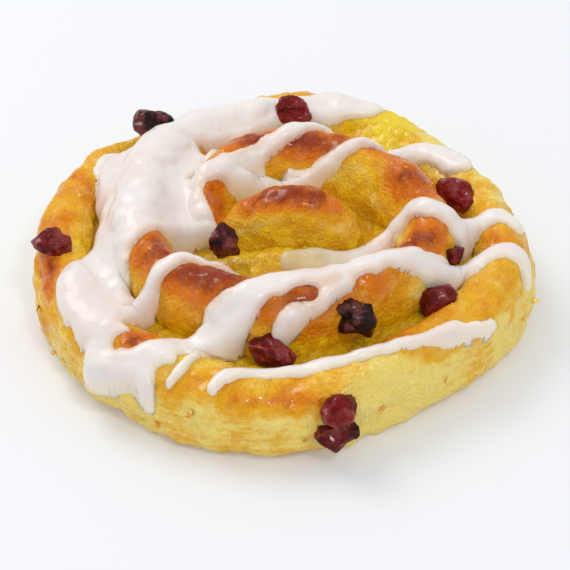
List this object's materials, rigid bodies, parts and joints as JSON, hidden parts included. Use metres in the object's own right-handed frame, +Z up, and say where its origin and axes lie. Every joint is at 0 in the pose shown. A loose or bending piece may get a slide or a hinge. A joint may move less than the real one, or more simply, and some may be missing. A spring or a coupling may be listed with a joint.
{
  "type": "danish pastry",
  "caption": "Round spiral Danish pastry with custard between its turns, raisins, and poured white icing.",
  "frame": {"origin": "centre of the pastry's footprint, on the surface that it rests on", "axes": "+Z up; -Y is the front, the side with two raisins on its outer wall; +X to the right"},
  "size_m": [0.111, 0.1082, 0.0307],
  "materials": {
    "dough": "baked laminated dough, egg-washed and glazed, golden with brown crests",
    "custard": "baked yellow custard, wet and slightly granular",
    "icing": "set white sugar icing, soft gloss",
    "raisin": "wrinkled dark red dried fruit with a sticky gloss"
  },
  "bodies": {
    "root": {"dough": "dough", "custard": "custard", "icing": "icing", "icing_right": "icing", "icing_front": "icing", "icing_drip": "icing", "raisin_01": "raisin", "raisin_02": "raisin", "raisin_03": "raisin", "raisin_04": "raisin", "raisin_05": "raisin", "raisin_06": "raisin", "raisin_07": "raisin", "raisin_08": "raisin", "raisin_09": "raisin", "raisin_10": "raisin", "raisin_11": "raisin"}
  },
  "joints": []
}
